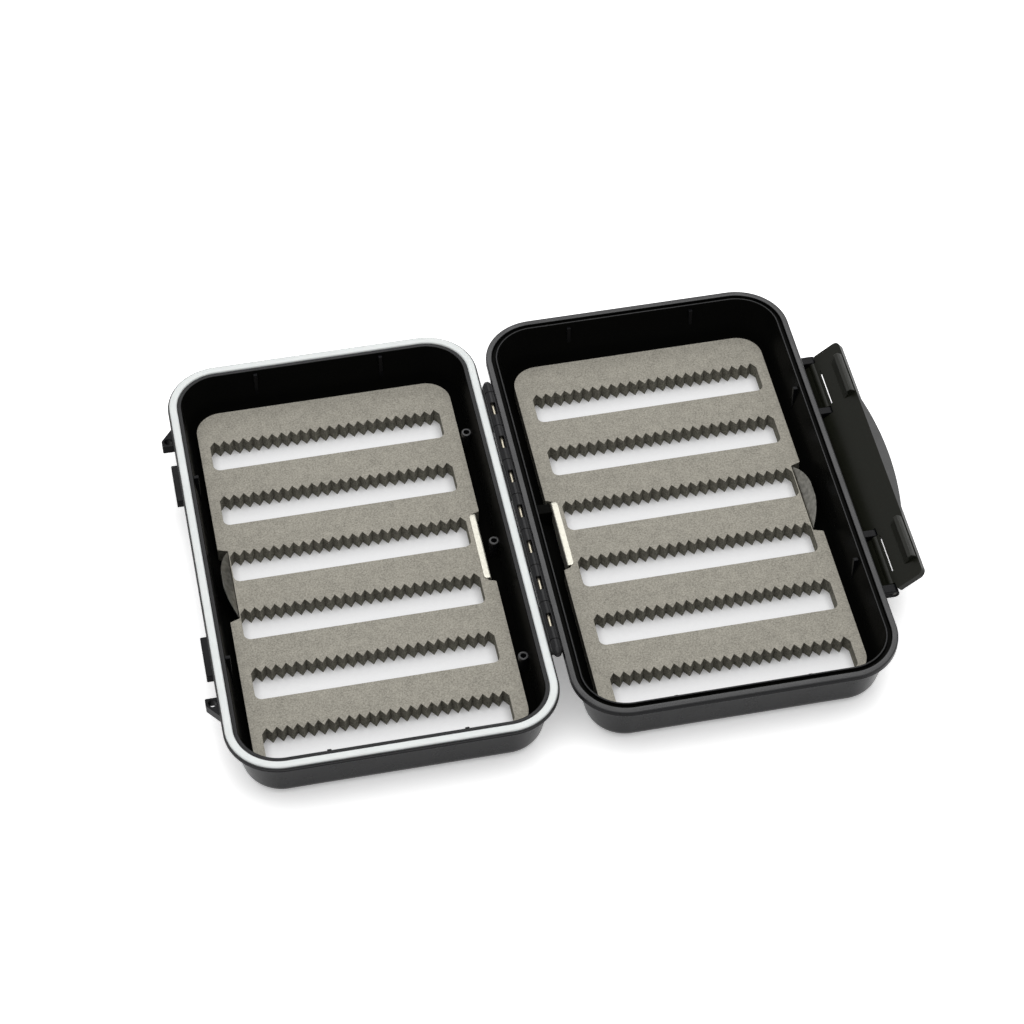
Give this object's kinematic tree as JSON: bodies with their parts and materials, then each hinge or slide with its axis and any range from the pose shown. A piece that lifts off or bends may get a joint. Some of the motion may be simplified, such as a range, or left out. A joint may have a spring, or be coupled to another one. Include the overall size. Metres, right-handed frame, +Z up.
{
  "type": "fly box",
  "caption": "Slim hinged fly box with a rubber seal, a snap latch and lift-out slotted foam inserts in both halves, shown open.",
  "frame": {"origin": "middle of the flat outside of the base half, which the box lies on", "axes": "+X from the base half to the open lid, +Y along the hinge to the far end, +Z up; the closing plane and the hinge axis are 19 mm up"},
  "size_m": [0.2037, 0.15, 0.0233],
  "materials": {
    "shell": "fine satin, moulded",
    "latch": "fine satin, moulded",
    "seal": "smooth, soft",
    "toothed_foam": "fine closed-cell foam",
    "backing_foam": "smooth closed-cell foam",
    "carrier": "thin sheet",
    "bright_steel": "bright rolled sheet",
    "pin_steel": "drawn wire",
    "magnet": "nickel plated"
  },
  "bodies": {
    "base": {"base_shell": "shell", "seal_ring": "seal", "hinge_pin": "pin_steel", "base_magnet_outer": "magnet", "base_magnet_hinge": "magnet"},
    "lid": {"lid_shell": "shell", "latch_pin_far": "pin_steel", "latch_pin_near": "pin_steel", "lid_magnet_outer": "magnet", "lid_magnet_hinge": "magnet"},
    "latch": {"latch": "latch"},
    "base_insert": {"base_carrier_sheet": "carrier", "base_backing_foam": "backing_foam", "base_toothed_foam": "toothed_foam", "base_pull_tab": "bright_steel", "base_retaining_lip": "bright_steel"},
    "lid_insert": {"lid_carrier_sheet": "carrier", "lid_backing_foam": "backing_foam", "lid_toothed_foam": "toothed_foam", "lid_pull_tab": "bright_steel", "lid_retaining_lip": "bright_steel"}
  },
  "joints": [
    {"name": "lid_hinge", "type": "hinge", "parent": "base", "child": "lid", "pos_m": [0.04735, 0, 0.019], "axis": [0, -1, 0], "range_deg": [0, 180]},
    {"name": "latch_hinge", "type": "hinge", "parent": "lid", "child": "latch", "pos_m": [0.1443, 0, 0.01505], "axis": [0, -1, 0], "range_deg": [0, 51]},
    {"name": "base_insert_lift", "type": "slide", "parent": "base", "child": "base_insert", "axis": [0, 0, 1], "range_m": [0, 0.0075]},
    {"name": "lid_insert_lift", "type": "slide", "parent": "lid", "child": "lid_insert", "axis": [0, 0, 1], "range_m": [0, 0.0075]}
  ]
}
